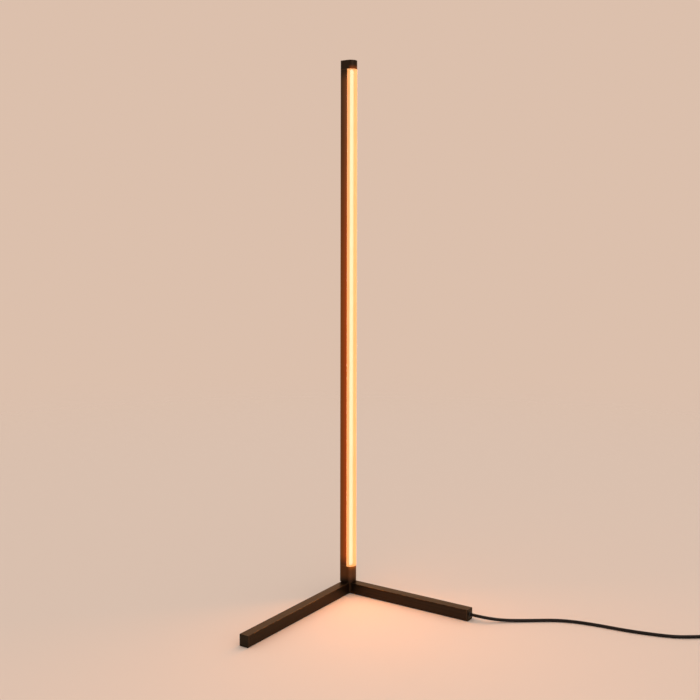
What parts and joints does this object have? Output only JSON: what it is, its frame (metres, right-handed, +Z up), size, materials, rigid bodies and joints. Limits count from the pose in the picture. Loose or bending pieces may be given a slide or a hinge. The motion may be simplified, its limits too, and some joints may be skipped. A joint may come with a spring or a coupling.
{
  "type": "corner floor lamp",
  "caption": "Slim upright lamp for a room corner: D-shaped aluminium post with a milky half-round diffuser on two square legs at a right angle, with cord, inline controller and adapter.",
  "frame": {"origin": "on the floor under the middle of the corner block where the two legs meet", "axes": "+Z up along the post, +X along the right leg and the way the diffuser faces, -Y along the left leg"},
  "size_m": [0.7868, 0.4772, 1],
  "materials": {
    "legs": "brown-black anodised, fine grain",
    "post": "brown-black anodised, fine lengthwise extrusion lines",
    "trim": "brown-black moulded, fine grain",
    "diffuser": "milky, frosted, lit from behind",
    "glow": "glowing gel line",
    "strip": "white flexible board",
    "cord": "smooth black sheath",
    "lead": "smooth white insulation",
    "connector": "off-white moulded",
    "rubber": "matt black rubber",
    "steel": "zinc plated",
    "housing": "fine spark-eroded texture",
    "buttons": "satin grey silicone",
    "board": "green solder mask",
    "pins": "nickel plated",
    "strap": "black woven hook-and-loop",
    "nylon": "natural nylon"
  },
  "bodies": {
    "lamp": {"corner_block": "legs", "right_leg": "legs", "left_leg": "legs", "leg_screws": "steel", "foot_screws": "steel", "corner_pad": "rubber", "right_pad": "rubber", "left_pad": "rubber", "right_end_cap": "trim", "left_end_cap": "trim", "cord_bush": "rubber", "cord_anchor": "nylon", "post_foot": "post", "post_channel": "post", "diffuser": "diffuser", "top_cap": "trim", "post_screws": "steel", "led_strip": "strip", "light_bead": "glow", "cord_inner_end": "cord", "leg_lead": "lead", "post_lead": "lead", "lead_plug": "connector", "lead_socket": "connector", "controller_base": "housing", "controller_top": "housing", "controller_board": "board", "snap_switches": "steel", "controller_screws": "steel", "controller_boots": "rubber", "cord_run": "cord", "coil_strap": "strap", "cord_coil": "cord", "cord_to_coil": "cord", "cord_to_adapter": "cord", "adapter_body": "housing", "adapter_face": "housing", "adapter_pins": "pins", "adapter_boot": "rubber"},
    "power_button": {"power_button": "buttons"},
    "colour_button": {"colour_button": "buttons"},
    "brightness_button": {"brightness_button": "buttons"}
  },
  "joints": [
    {"name": "power_press", "type": "slide", "parent": "lamp", "child": "power_button", "axis": [0, 0, -1], "range_m": [0, 0.0008], "stiffness_N_per_m": 600},
    {"name": "colour_press", "type": "slide", "parent": "lamp", "child": "colour_button", "axis": [0, 0, -1], "range_m": [0, 0.0008], "stiffness_N_per_m": 600},
    {"name": "brightness_press", "type": "slide", "parent": "lamp", "child": "brightness_button", "axis": [0, 0, -1], "range_m": [0, 0.0008], "stiffness_N_per_m": 600}
  ]
}
